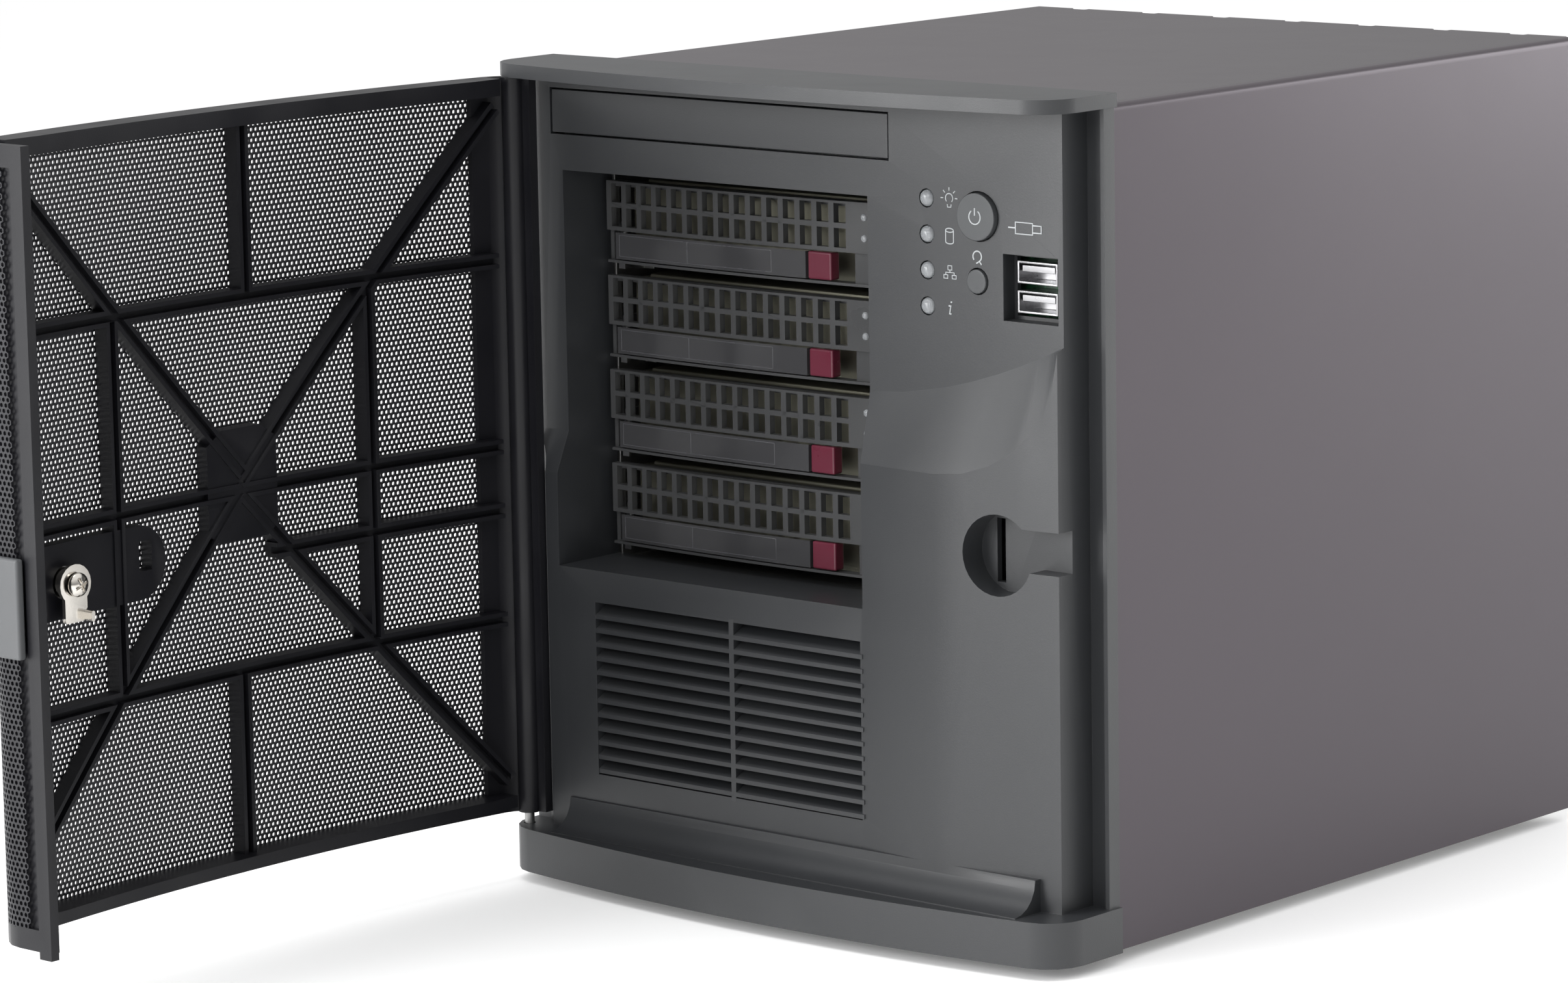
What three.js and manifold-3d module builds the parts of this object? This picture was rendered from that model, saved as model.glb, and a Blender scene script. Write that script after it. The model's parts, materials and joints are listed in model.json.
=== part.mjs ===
// A four-bay network storage enclosure: steel chassis, moulded bezel, hinged mesh door and
// four hot-swap drive trays. Millimetres, +X right, +Y to the back, +Z up.
// Everything is laid out with y = 0 at the front of the steel body, then the whole group is
// moved so that its origin is the middle of the base pan's underside.
import * as THREE from "three";
import { mergeVertices } from "three/addons/utils/BufferGeometryUtils.js";
import Module from "manifold-3d";

const wasm = await Module();
wasm.setup();

// ---- driving dimensions ----
const BODY = { w: 207, d: 224, h: 237, sheet: 1.2 };
const GAP = 0.3; // clearance between touching pieces
const PAN_Z = 0.6; // underside of the base sheet; a pressed pad in its middle reaches down to 0

// Footprint of the plinth, the top lip and the door: flat sides, round corners, bowed front.
const SIDE_X = 105;
const CORNER_R = 12;
const BOW_R = 654;
const FRONT_Y = -36.5;

const PLINTH_TOP = 13;
const LIP_BOTTOM = 236;
const BEZEL_TOP = 240;
const PANEL_Y = -14; // upper front panel
const SLAB_Y = -3; // flange of the bezel that lies on the steel
const COLUMN_X = 97; // right edge of the control column

const BAY = { x0: -89, x1: 27.5, z0: 91.5, z1: 208, back: 7 };
const OPTICAL = { x0: -93.5, x1: 35.5, z0: 218.4, z1: 232 };
const LOUVRE = { x0: -75, x1: 26.4, z0: 30.4, z1: 82, pitch: 4.2, mullion: -22 };

const TRAY = { count: 4, pitch: 28, z0: 92, x0: -86.5, x1: 21.5, bow: 1.8 };
const TRAY_TRAVEL_X = (TRAY.x0 + TRAY.x1) / 2;
const DRIVE = { w: 101.6, d: 147, h: 25.4 };
const CAGE = { x0: -88.4, x1: 23.4, y0: 7.6, y1: 161, z0: 90.2, z1: 205.6 };

const HINGE = { x: -100.5, y: -22.5, pin: 1.5, bore: 1.8, swing: 7.4 };
const DOOR = { z0: 14.5, z1: 235.4, depth: 10, flangeY: -17, endY: -5, open: 90 };

const MESH_INSET = 0.4;
const MESH_SHEET = 0.8;

const LOCK = { x: 76.5, z: 112, r: 11.5 };
const BARREL_Z = 112; // height of the door's lock barrel
const POWER = { x: 67.5, z: 205, r: 6.75 };
const RESET = { x: 67, z: 187, r: 3.5 };
const LED = { x: 49, z: 208.9, pitch: 10.03, r: 2.4 };
const USB = { x0: 76, x1: 95.2, z0: 176.8, z1: 195.3, depth: 5 };
const FAN = { x: -30, z: 150, size: 120, depth: 25 };
const PSU = { x0: 54, x1: 94.5, y0: 70, z0: 138, z1: 219.5 };
const IO = { x0: -92, x1: 66, z0: 12, z1: 56 };
const SLOT = { x0: 74, x1: 90, z0: 14, z1: 92 };
const BOARD = { x0: -95, x1: 75, y0: 51, y1: 219, z: 8 };

const PLASTIC = [0x4b4f51, 0.62, 0];
const STEEL = [0xa9a6a4, 0.38, 0.85];
const BLACK = [0x17171b, 0.5, 0];

// ---- building blocks ----
const group = new THREE.Group();
group.position.y = -BODY.d / 2;
const doorGroup = new THREE.Group();
doorGroup.position.set(HINGE.x, HINGE.y, 0);
doorGroup.rotation.z = THREE.MathUtils.degToRad(-DOOR.open);
group.add(doorGroup);

function solid(geometry) {
  const bare = geometry.index ? geometry.toNonIndexed() : geometry.clone();
  bare.deleteAttribute("normal");
  bare.deleteAttribute("uv");
  const merged = mergeVertices(bare, 1e-4);
  const mesh = new wasm.Mesh({
    numProp: 3,
    vertProperties: merged.attributes.position.array,
    triVerts: new Uint32Array(merged.index.array),
  });
  return new wasm.Manifold(mesh);
}

function toGeometry(body) {
  const mesh = body.getMesh();
  const geometry = new THREE.BufferGeometry();
  geometry.setAttribute("position", new THREE.BufferAttribute(mesh.vertProperties, 3));
  geometry.setIndex(new THREE.BufferAttribute(mesh.triVerts, 1));
  return geometry;
}

function join(...bodies) {
  return bodies.flat().reduce((sum, body) => sum.add(body));
}

function cut(body, ...tools) {
  return tools.flat().reduce((left, tool) => left.subtract(tool), body);
}

function box(x0, x1, y0, y1, z0, z1) {
  const geometry = new THREE.BoxGeometry(x1 - x0, y1 - y0, z1 - z0);
  return solid(geometry.translate((x0 + x1) / 2, (y0 + y1) / 2, (z0 + z1) / 2));
}

// Prism of an XY outline (array of [x, y]) from z0 to z1.
function prismZ(outline, z0, z1) {
  const shape = new THREE.Shape(outline.map(([x, y]) => new THREE.Vector2(x, y)));
  const geometry = new THREE.ExtrudeGeometry(shape, { depth: z1 - z0, bevelEnabled: false });
  return solid(geometry.translate(0, 0, z0));
}

// Prism of an XZ outline (array of [x, z]) from y0 to y1.
function prismY(outline, y0, y1) {
  const shape = new THREE.Shape(outline.map(([x, z]) => new THREE.Vector2(x, z)));
  const geometry = new THREE.ExtrudeGeometry(shape, { depth: y1 - y0, bevelEnabled: false });
  return solid(geometry.rotateX(Math.PI / 2).translate(0, y1, 0));
}

// Prism of a YZ outline (array of [y, z]) from x0 to x1.
function prismX(outline, x0, x1) {
  const shape = new THREE.Shape(outline.map(([y, z]) => new THREE.Vector2(y, z)));
  const geometry = new THREE.ExtrudeGeometry(shape, { depth: x1 - x0, bevelEnabled: false });
  return solid(geometry.rotateX(Math.PI / 2).rotateZ(Math.PI / 2).translate(x0, 0, 0));
}

function rodY(x, z, r, y0, y1, sides = 24) {
  const geometry = new THREE.CylinderGeometry(r, r, y1 - y0, sides);
  return solid(geometry.translate(x, (y0 + y1) / 2, z));
}

function rodZ(x, y, r, z0, z1, sides = 16) {
  const geometry = new THREE.CylinderGeometry(r, r, z1 - z0, sides).rotateX(Math.PI / 2);
  return solid(geometry.translate(x, y, (z0 + z1) / 2));
}

// Straight bar between two points of an XZ layout, with a depth along Y.
function strut(a, b, width, y0, y1) {
  const dx = b[0] - a[0];
  const dz = b[1] - a[1];
  const half = width / 2 / Math.hypot(dx, dz);
  const side = [-dz * half, dx * half];
  const outline = [
    [a[0] - side[0], a[1] - side[1]],
    [b[0] - side[0], b[1] - side[1]],
    [b[0] + side[0], b[1] + side[1]],
    [a[0] + side[0], a[1] + side[1]],
  ];
  return prismY(outline, y0, y1);
}

// Closed body through sections with equal numbers of points, such as slices along X.
function ruled(sections) {
  const n = sections[0].length;
  const points = sections.flat().flatMap((p) => p);
  const index = [];
  for (let s = 0; s + 1 < sections.length; s++) {
    for (let i = 0; i < n; i++) {
      const a = s * n + i;
      const b = s * n + ((i + 1) % n);
      index.push(a, b, b + n, a, b + n, a + n);
    }
  }
  const last = (sections.length - 1) * n;
  for (let i = 1; i + 1 < n; i++) {
    index.push(0, i + 1, i, last, last + i, last + i + 1);
  }
  const geometry = new THREE.BufferGeometry();
  geometry.setAttribute("position", new THREE.Float32BufferAttribute(points, 3));
  geometry.setIndex(index);
  const body = solid(geometry);
  return body.volume() > 0 ? body : solid(geometry.setIndex(index.reverse()));
}

function place(name, body, [color, roughness, metalness], parent = group) {
  const material = new THREE.MeshStandardMaterial({ color, roughness, metalness });
  const mesh = new THREE.Mesh(toGeometry(body), material);
  mesh.name = name;
  parent.add(mesh);
}

// ---- the shared footprint ----
// Points of the outline from the back of the left side round the front to the right side,
// moved inwards by an inset. leftY and rightY end the two sides.
function footprint(inset, leftY, rightY, bowSteps = 14) {
  const bowCentre = FRONT_Y + BOW_R;
  const cornerX = SIDE_X - CORNER_R;
  const cornerY = bowCentre - Math.sqrt((BOW_R - CORNER_R) ** 2 - cornerX ** 2);
  const tangent = Math.asin(cornerX / (BOW_R - CORNER_R));
  const r = CORNER_R - inset;
  const right = [];
  for (let i = 0; i <= 4; i++) {
    const angle = (i / 4) * (Math.PI / 2 - tangent);
    right.push([cornerX + r * Math.cos(angle), cornerY - r * Math.sin(angle)]);
  }
  const bow = [];
  for (let i = 1; i < bowSteps; i++) {
    const angle = tangent * (1 - (2 * i) / bowSteps);
    const radius = BOW_R - inset;
    bow.push([radius * Math.sin(angle), bowCentre - radius * Math.cos(angle)]);
  }
  const left = right.map(([x, y]) => [-x, y]).reverse();
  const around = [...right, ...bow, ...left];
  return [[SIDE_X - inset, rightY], ...around, [-SIDE_X + inset, leftY]];
}

// Band between two insets of the footprint, from z0 to z1.
function band(inset0, inset1, leftY, rightY, z0, z1) {
  const outer = footprint(inset0, leftY, rightY);
  const inner = footprint(inset1, leftY, rightY);
  return prismZ([...outer.reverse(), ...inner], z0, z1);
}

function slabOfFootprint(inset, backY, z0, z1) {
  return prismZ(footprint(inset, backY, backY).reverse(), z0, z1);
}

// ---- front bezel ----
// Depth of the lower front panel: it juts forward to a soft vertical crease.
const LOWER_PROFILE = [
  [-98.5, -19],
  [BAY.x0 - 4.4, -19.4],
  [27, -18.6],
  [55, -20.4],
  [COLUMN_X, -17],
];

function lowerFront(x) {
  const i = LOWER_PROFILE.findIndex(([px]) => px >= x);
  if (i <= 0) return LOWER_PROFILE[0][1];
  const [x0, y0] = LOWER_PROFILE[i - 1];
  const [x1, y1] = LOWER_PROFILE[i];
  return y0 + ((y1 - y0) * (x - x0)) / (x1 - x0);
}

// Heights of the slanted step's upper and lower edges along the width.
function stepEdges(x) {
  if (x <= BAY.x0) return [131, 119];
  const t = Math.min(1, Math.max(0, (x - 27) / (COLUMN_X - 27)));
  const upper = 153 + 18 * t ** 1.8;
  const bend = Math.min(1, Math.max(0, (x - 56) / (COLUMN_X - 56)));
  const lower = 133 + 37 * (1 - Math.sqrt(1 - bend ** 2));
  return [upper, Math.min(lower, upper - 0.6)];
}

function raisedPanel() {
  const stations = [-98.5, BAY.x0 - 4.4, BAY.x0, 27, 40, 55, 65, 74, 82, 88, 92, 95, COLUMN_X];
  const sections = stations.map((x) => {
    const [upper, lower] = stepEdges(x);
    const y = lowerFront(x);
    return [
      [x, PANEL_Y + 2, PLINTH_TOP - 1],
      [x, y, PLINTH_TOP - 1],
      [x, y, lower],
      [x, PANEL_Y, upper],
      [x, PANEL_Y + 2, upper],
    ];
  });
  return ruled(sections);
}

// The foot of the panel flows forward onto the plinth in a hollow curve.
function cove() {
  const outline = [[PANEL_Y + 2, PLINTH_TOP - 1]];
  const reach = 9;
  outline.push([-20 - reach, PLINTH_TOP - 1]);
  for (let i = 0; i <= 5; i++) {
    const angle = (i / 5) * (Math.PI / 2);
    const y = -20 - reach * (1 - Math.sin(angle));
    outline.push([y, PLINTH_TOP + 0.3 + reach * (1 - Math.cos(angle))]);
  }
  outline.push([PANEL_Y + 2, PLINTH_TOP + 9.3]);
  return prismX(outline, -86, 90);
}

function louvreSlats() {
  const slats = [];
  for (let z = LOUVRE.z0 + 1.4; z < LOUVRE.z1 - 1; z += LOUVRE.pitch) {
    const outline = [
      [-19, z - 1],
      [-19, z + 0.3],
      [-13.4, z + 3.2],
      [-13.4, z + 1.9],
    ];
    slats.push(prismX(outline, LOUVRE.x0 - 1, LOUVRE.x1 + 1));
  }
  const middle = LOUVRE.mullion;
  slats.push(box(middle - 0.9, middle + 0.9, -19, -13, LOUVRE.z0 - 1, LOUVRE.z1 + 1));
  return slats;
}

function frontBezel() {
  const plinth = slabOfFootprint(0, 0, 0, PLINTH_TOP);
  const lip = slabOfFootprint(0, 0, LIP_BOTTOM, BEZEL_TOP);
  const column = box(-SIDE_X + 0.2, COLUMN_X, PANEL_Y, 0, PLINTH_TOP - 1, LIP_BOTTOM + 1);
  const slab = box(-SIDE_X + 0.2, SIDE_X - 1, SLAB_Y, 0, PLINTH_TOP - 1, LIP_BOTTOM + 1);
  const rim = box(SIDE_X - 2.4, SIDE_X - 1, SLAB_Y - 1.6, 0, PLINTH_TOP - 1, LIP_BOTTOM + 1);
  const outside = join(plinth, lip, column, slab, rim, raisedPanel(), cove());
  const wall = 2.4;
  const hollow = join(
    box(-SIDE_X + 3, BAY.x0 - wall, PANEL_Y + wall, 1, PLINTH_TOP + 2, 214),
    box(BAY.x1 + wall, COLUMN_X - wall, PANEL_Y + wall, 1, PLINTH_TOP + 2, 214),
    box(-SIDE_X + 3, COLUMN_X - wall, PANEL_Y + wall, 1, PLINTH_TOP + 2, BAY.z0 - wall),
    box(-SIDE_X + 3, COLUMN_X - wall, PANEL_Y + wall, 1, BAY.z1 + wall, LIP_BOTTOM - 1),
    slabOfFootprint(3, 1, -1, PLINTH_TOP - wall),
  );
  const tunnel = cut(
    box(BAY.x0 - 1.6, BAY.x1 + 1.6, PANEL_Y + 1, BAY.back, BAY.z0 - 1.6, BAY.z1 + 1.6),
    box(BAY.x0, BAY.x1, -40, BAY.back + 1, BAY.z0, BAY.z1),
  );
  const louvreHole = box(LOUVRE.x0, LOUVRE.x1, -30, 1, LOUVRE.z0, LOUVRE.z1);
  const holes = [
    box(BAY.x0, BAY.x1, -40, 1, BAY.z0, BAY.z1),
    box(OPTICAL.x0, OPTICAL.x1, -20, 1, OPTICAL.z0, OPTICAL.z1),
    louvreHole,
    rodY(POWER.x, POWER.z, POWER.r + GAP, -20, 1),
    rodY(RESET.x, RESET.z, RESET.r + GAP, -20, 1, 18),
    box(USB.x0, USB.x1, -20, PANEL_Y + USB.depth, USB.z0, USB.z1),
    box(USB.x0 + 1, USB.x1 - 1, -20, 1, USB.z0 + 1, USB.z1 - 1),
    rodZ(HINGE.x, HINGE.y, HINGE.bore, PLINTH_TOP - 3.4, PLINTH_TOP + 1),
    rodZ(HINGE.x, HINGE.y, HINGE.bore, LIP_BOTTOM - 1, LIP_BOTTOM + 2.6),
    rodZ(HINGE.x, HINGE.y, HINGE.swing, PLINTH_TOP, LIP_BOTTOM, 24),
  ];
  for (let i = 0; i < 4; i++) {
    holes.push(rodY(LED.x, LED.z - i * LED.pitch, LED.r + GAP, -20, 1, 12));
  }
  // Backing behind the lock pocket and behind the USB pocket, then the pockets themselves.
  const backing = [
    rodY(LOCK.x, LOCK.z, LOCK.r + 1.6, -16, -9, 32),
    box(LOCK.x, COLUMN_X - 1, -16, -9, LOCK.z - 6, LOCK.z + 9.5),
    box(USB.x0 - 1.6, USB.x1 + 1, -13, PANEL_Y + USB.depth + 1.6, USB.z0 - 1.6, USB.z1 + 1.6),
  ];
  const pocket = join(
    rodY(LOCK.x, LOCK.z, LOCK.r, -30, -11, 32),
    box(LOCK.x, COLUMN_X + 1, -30, -11, LOCK.z - 4, LOCK.z + 8),
  );
  const camSlot = box(LOCK.x - 6, LOCK.x - 3, -30, 1, LOCK.z - 9, LOCK.z + 9);
  const shell = join(cut(outside, hollow), tunnel, ...backing);
  const open = cut(shell, holes, pocket, camSlot);
  return join(open, louvreSlats());
}

function frontParts() {
  place("front_bezel", frontBezel(), PLASTIC);
  const cover = join(
    box(OPTICAL.x0 + 0.5, OPTICAL.x1 - 0.5, PANEL_Y + 0.2, -11.4, OPTICAL.z0 + 0.5, OPTICAL.z1 - 0.5),
    box(OPTICAL.x0 + 30, OPTICAL.x0 + 42, -11.6, -5, OPTICAL.z1 - 3, OPTICAL.z1 - 1),
    box(OPTICAL.x1 - 42, OPTICAL.x1 - 30, -11.6, -5, OPTICAL.z1 - 3, OPTICAL.z1 - 1),
  );
  place("optical_bay_cover", cover, PLASTIC);

  const board = box(40, 94, -3.2, -1.6, 166, 213);
  const switches = [
    box(POWER.x - 3, POWER.x + 3, -6, -3.1, POWER.z - 3, POWER.z + 3),
    box(RESET.x - 3, RESET.x + 3, -6, -3.1, RESET.z - 3, RESET.z + 3),
  ];
  place("control_board", join(board, switches), [0x1d5a36, 0.55, 0]);

  const power = join(
    rodY(POWER.x, POWER.z, POWER.r - 0.1, PANEL_Y - 1.6, -9, 32),
    rodY(POWER.x, POWER.z, POWER.r + 1.2, -11.3, -9.6, 32),
    rodY(POWER.x, POWER.z, 1.6, -9.4, -7.4, 12),
  );
  place("power_button", power, [0x3c4042, 0.5, 0]);
  const reset = join(
    rodY(RESET.x, RESET.z, RESET.r - 0.1, PANEL_Y - 0.8, -9, 20),
    rodY(RESET.x, RESET.z, RESET.r + 1, -11.3, -9.6, 20),
    rodY(RESET.x, RESET.z, 1.4, -9.4, -7, 12),
  );
  place("reset_button", reset, [0x3c4042, 0.5, 0]);

  for (let i = 0; i < 4; i++) {
    const z = LED.z - i * LED.pitch;
    const lens = join(
      rodY(LED.x, z, LED.r, PANEL_Y - 0.5, -4, 12),
      rodY(LED.x, z, LED.r * 0.6, PANEL_Y - 1.2, -6, 12),
    );
    place("status_lens_" + (i + 1), lens, [0xc9cdd2, 0.15, 0]);
  }

  const usbNames = ["usb_port_lower", "usb_port_upper"];
  usbNames.forEach((name, i) => {
    const z0 = 178.9 + i * 8.2;
    const shell = cut(
      box(78.6, 92.6, -11, -3.6, z0, z0 + 6.2),
      box(79.2, 92, -12, -4.6, z0 + 0.6, z0 + 5.6),
    );
    const tongue = box(79.9, 91.3, -10.4, -4, z0 + 3.3, z0 + 5);
    place(name, join(shell, tongue), STEEL);
  });
}

// ---- chassis ----
function chassis() {
  const { w, d, h, sheet } = BODY;
  const inner = w / 2 - sheet - GAP;
  const pan = join(
    box(-inner, inner, 0.6, d - sheet - GAP, PAN_Z, PAN_Z + sheet),
    box(-60, 60, 50, 174, 0, PAN_Z + 0.1),
    box(-inner, -inner + sheet, 2, d - sheet - GAP, PAN_Z, 10),
    box(inner - sheet, inner, 2, d - sheet - GAP, PAN_Z, 10),
    [[BOARD.x0 + 6, 60], [BOARD.x1 - 6, 60], [BOARD.x0 + 6, 210], [BOARD.x1 - 6, 210]].map(
      ([x, y]) => rodZ(x, y, 3, PAN_Z + 0.5, BOARD.z - GAP, 10),
    ),
  );
  place("base_pan", pan, STEEL);

  const half = w / 2;
  const fold = 2.5;
  const skin = [];
  const lining = [];
  for (let i = 0; i <= 3; i++) {
    const a = (i / 3) * (Math.PI / 2);
    skin.push([half - fold + fold * Math.cos(a), h - fold + fold * Math.sin(a)]);
    lining.push([
      half - fold + (fold - sheet) * Math.cos(a),
      h - fold + (fold - sheet) * Math.sin(a),
    ]);
  }
  const mirror = (points) => points.map(([x, z]) => [-x, z]).reverse();
  const outer = [[half, GAP], ...skin, ...mirror(skin), [-half, GAP]];
  const inside = [[half - sheet, GAP], ...lining, ...mirror(lining), [-half + sheet, GAP]];
  const shell = prismY([...outer, ...inside.reverse()], GAP, d);
  const notches = [];
  for (let x = -84; x <= 84; x += 28) {
    notches.push(box(x - 3, x + 3, d - 2.2, d + 1, h - sheet - 1, h + 1));
  }
  place("outer_cover", cut(shell, notches), [0x8a8486, 0.35, 0.6]);

  const top = h - sheet - GAP;
  const bottom = PAN_Z + sheet + GAP;
  const plate = inner - 2 * GAP;
  const front = cut(
    box(-plate, plate, GAP, GAP + sheet, bottom, top),
    box(BAY.x0 - 2.2, BAY.x1 + 2.2, -1, 3, BAY.z0 - 2.2, BAY.z1 + 2.2),
    box(OPTICAL.x0, OPTICAL.x1, -1, 3, OPTICAL.z0 - 1, OPTICAL.z1),
    box(LOUVRE.x0 + 2, LOUVRE.x1 - 2, -1, 3, LOUVRE.z0, LOUVRE.z1 - 2),
    box(44, 92, -1, 3, 172, 208),
  );
  place("front_panel", front, STEEL);

  const vents = [];
  for (let x = PSU.x0 + 5; x < PSU.x1 - 5; x += 5.5) {
    vents.push(box(x, x + 3, d - 3, d + 1, PSU.z0 + 40, PSU.z1 - 8));
  }
  const fanOpening = [];
  for (const [r0, r1] of [[10, 22], [26, 38], [42, 55]]) {
    const ring = cut(rodY(FAN.x, FAN.z, r1, d - 3, d + 1, 32), rodY(FAN.x, FAN.z, r0, d - 4, d + 2, 32));
    fanOpening.push(
      cut(
        ring,
        strut([FAN.x - 50, FAN.z - 50], [FAN.x + 50, FAN.z + 50], 4, d - 4, d + 2),
        strut([FAN.x - 50, FAN.z + 50], [FAN.x + 50, FAN.z - 50], 4, d - 4, d + 2),
      ),
    );
  }
  const rear = cut(
    box(-plate, plate, d - sheet, d, bottom, top),
    fanOpening,
    vents,
    box(IO.x0, IO.x1, d - 3, d + 1, IO.z0, IO.z1),
    box(SLOT.x0 + 1.5, SLOT.x1 - 1.5, d - 3, d + 1, SLOT.z0 + 1.5, SLOT.z1 - 1.5),
    box(PSU.x0 + 6, PSU.x0 + 34.6, d - 3, d + 1, PSU.z0 + 6, PSU.z0 + 29.6),
  );
  place("rear_panel", rear, STEEL);

  const feet = [[-78, 30], [78, 30], [-78, 194], [78, 194]];
  feet.forEach(([x, y], i) => {
    place("foot_" + (i + 1), rodZ(x, y, 9, -3.4, PAN_Z - GAP, 24), [0x1b1b1b, 0.9, 0]);
  });
  [-94, 94].forEach((x, i) => {
    const screw = rodY(x, h - 12, 4.2, d + GAP, d + 5, 20);
    place(i ? "thumbscrew_right" : "thumbscrew_left", screw, STEEL);
  });
}

// ---- what the chassis holds ----
function internals() {
  const { d, sheet } = BODY;
  const wall = 1;
  const cageShell = cut(
    box(CAGE.x0 - wall, CAGE.x1 + wall, CAGE.y0, CAGE.y1, CAGE.z0 - wall, CAGE.z1 + wall),
    box(CAGE.x0, CAGE.x1, CAGE.y0 - 1, CAGE.y1 + 1, CAGE.z0, CAGE.z1),
  );
  const rails = [];
  for (let i = 1; i < TRAY.count; i++) {
    const z = TRAY.z0 + i * TRAY.pitch;
    rails.push(box(CAGE.x0 - 0.5, CAGE.x0 + 4, CAGE.y0 + 12, CAGE.y1 - 4, z - 0.6, z + 0.4));
    rails.push(box(CAGE.x1 - 4, CAGE.x1 + 0.5, CAGE.y0 + 12, CAGE.y1 - 4, z - 0.6, z + 0.4));
  }
  const ears = [
    box(CAGE.x0 - 8, CAGE.x0 - 0.5, CAGE.y0, CAGE.y0 + wall, CAGE.z0, CAGE.z1),
    box(CAGE.x1 + 0.5, CAGE.x1 + 8, CAGE.y0, CAGE.y0 + wall, CAGE.z0, CAGE.z1),
  ];
  place("drive_cage", join(cageShell, rails, ears), STEEL);

  const sockets = [];
  for (let i = 0; i < TRAY.count; i++) {
    const z = TRAY.z0 + i * TRAY.pitch + 4;
    sockets.push(box(-60, -16, 160.6, 163.2, z, z + 6));
  }
  const back = join(box(CAGE.x0 + 1, CAGE.x1 - 1, 163, 164.6, CAGE.z0 + 2, CAGE.z1 - 2), sockets);
  place("backplane", back, [0x1d5a36, 0.55, 0]);

  const { x, z, size, depth } = FAN;
  const fanY = d - sheet - GAP;
  const r = size / 2;
  const frame = cut(
    join(
      box(x - r, x + r, fanY - depth, fanY - depth + 3, z - r, z + r),
      box(x - r, x + r, fanY - 3, fanY, z - r, z + r),
      rodY(x, z, r - 0.6, fanY - depth + 1, fanY - 1, 36),
    ),
    rodY(x, z, r - 3, fanY - depth - 1, fanY + 1, 36),
  );
  const struts = [45, 135].map((deg) => {
    const a = THREE.MathUtils.degToRad(deg);
    const reach = r - 2;
    return strut(
      [x - reach * Math.cos(a), z - reach * Math.sin(a)],
      [x + reach * Math.cos(a), z + reach * Math.sin(a)],
      4,
      fanY - 2.4,
      fanY - 0.4,
    );
  });
  place("rear_fan_frame", join(frame, struts, rodY(x, z, 19, fanY - 4.4, fanY - 0.4, 24)), BLACK);
  const blades = [];
  for (let i = 0; i < 7; i++) {
    const blade = box(16, r - 4.6, -1, 1, -11, 11).rotate([32, 0, 0]);
    blades.push(blade.rotate([0, (i * 360) / 7, 0]).translate([x, fanY - 13, z]));
  }
  const rotor = join(rodY(x, z, 20, fanY - depth + 2, fanY - 5, 28), blades);
  place("rear_fan_rotor", rotor, BLACK);

  const psu = cut(
    box(PSU.x0, PSU.x1, PSU.y0, fanY, PSU.z0, PSU.z1),
    box(PSU.x0 + 6.3, PSU.x0 + 34.3, fanY - 22, fanY + 1, PSU.z0 + 6.3, PSU.z0 + 29.3),
  );
  place("power_supply", psu, STEEL);
  const inlet = cut(
    box(PSU.x0 + 6.8, PSU.x0 + 33.8, fanY - 20, fanY + 2.6, PSU.z0 + 6.8, PSU.z0 + 28.8),
    box(PSU.x0 + 9.3, PSU.x0 + 31.3, fanY - 13, fanY + 4, PSU.z0 + 9.8, PSU.z0 + 25.8),
  );
  const prongs = [-7, 0, 7].map((dx) => {
    const px = PSU.x0 + 20.3 + dx;
    const pz = PSU.z0 + (dx ? 16 : 20);
    return box(px - 1, px + 1, fanY - 14, fanY - 2, pz - 2, pz + 2);
  });
  place("power_inlet", join(inlet, prongs), BLACK);

  const b = BOARD;
  const board = join(
    box(b.x0, b.x1, b.y0, b.y1, b.z, b.z + 1.6),
    box(60, 66, 90, 205, b.z + 1.5, b.z + 5.5),
    box(68, 73, 90, 205, b.z + 1.5, b.z + 5.5),
    [-80, -58, -36, -8, 14, 36].map((px) => box(px, px + 15, 200, b.y1 + 1, b.z + 1.5, b.z + 15)),
  );
  place("mainboard", board, [0x14401f, 0.55, 0]);
  const fins = [];
  for (let fx = -52; fx <= 8; fx += 6) {
    fins.push(box(fx, fx + 1.6, 100, 160, 13, 40));
  }
  place("heatsink", join(box(-52, 9.6, 100, 160, b.z + 2, 15), fins), [0xc4c6c8, 0.35, 0.9]);
  place("memory_module", box(62.4, 63.6, 94, 201, b.z + 5.9, b.z + 36), [0x14401f, 0.55, 0]);
  const shield = cut(
    box(IO.x0 - 1, IO.x1 + 1, d - sheet - GAP - 0.8, d - sheet - GAP, IO.z0 - 1, IO.z1 + 1),
    [-80, -58, -36, -8, 14, 36].map((px) => box(px - 0.6, px + 15.6, d - 5, d, b.z, b.z + 15.8)),
  );
  place("io_shield", shield, STEEL);
  const blank = box(SLOT.x0, SLOT.x1, fanY - 1, fanY, SLOT.z0, SLOT.z1);
  place("slot_cover", blank, STEEL);
}

// ---- drive trays ----
// Depth of the bowed tray front at a given x, nearest the viewer in the middle.
function trayFront(x) {
  const t = (2 * (x - TRAY_TRAVEL_X)) / (TRAY.x1 - TRAY.x0);
  return TRAY.bow * t ** 2;
}

// Bowed bar from x0 to x1, set back behind the tray front by y0 and ending at y1.
function bowedBar(x0, x1, y0, y1, z0, z1, step = 7) {
  const count = Math.max(1, Math.round((x1 - x0) / step));
  const sections = [];
  for (let i = 0; i <= count; i++) {
    const x = x0 + ((x1 - x0) * i) / count;
    const front = trayFront(x);
    sections.push([
      [x, front + y0, z0],
      [x, front + y0, z1],
      [x, front + y1, z1],
      [x, front + y1, z0],
    ]);
  }
  return ruled(sections);
}

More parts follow.
